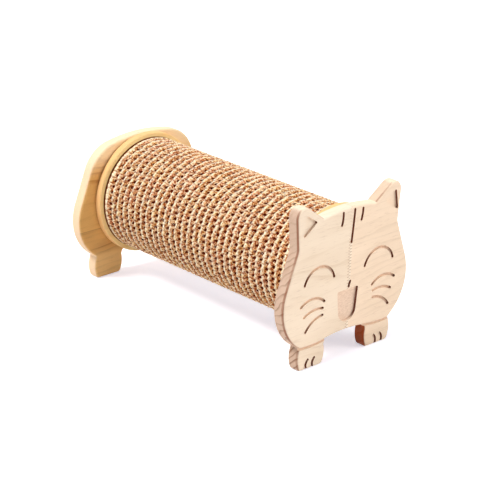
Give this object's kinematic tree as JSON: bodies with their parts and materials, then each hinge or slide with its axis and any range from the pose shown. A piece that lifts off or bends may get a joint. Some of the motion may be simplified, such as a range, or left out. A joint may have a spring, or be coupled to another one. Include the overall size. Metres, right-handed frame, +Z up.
{
  "type": "cat scratcher",
  "caption": "Horizontal sisal-covered scratching roller that turns on an axle between an engraved cat-face wooden panel on paws and a plain rear panel.",
  "frame": {"origin": "on the floor under the middle of the whole object", "axes": "+Y along the drum's axis from the cat face to the rear panel, +X to the right as the face is seen from the front, +Z up"},
  "size_m": [0.192, 0.3546, 0.1865],
  "materials": {
    "panel_wood": "sanded pale rubberwood, clear matt lacquer, finger-jointed",
    "disc_wood": "smooth yellow-toned board, clear matt lacquer",
    "plug_wood": "raw plywood",
    "sisal": "coarse woven sisal carpet",
    "kraft_board": "wound kraft paper board",
    "steel": "zinc-plated steel",
    "brass": "plain turned brass",
    "nylon": "natural white nylon"
  },
  "bodies": {
    "stand": {"front_panel": "panel_wood", "rear_panel": "panel_wood", "axle": "steel", "front_insert": "brass", "rear_bolt": "steel"},
    "roller": {"core_tube": "kraft_board", "sisal_mat": "sisal", "front_disc": "disc_wood", "rear_disc": "disc_wood", "front_plug": "plug_wood", "rear_plug": "plug_wood", "front_bush": "nylon", "rear_bush": "nylon", "front_disc_screws": "steel", "rear_disc_screws": "steel"}
  },
  "joints": [
    {"name": "roller_spin", "type": "hinge", "parent": "stand", "child": "roller", "pos_m": [0, 0, 0.0965], "axis": [0, 1, 0], "continuous": true}
  ]
}
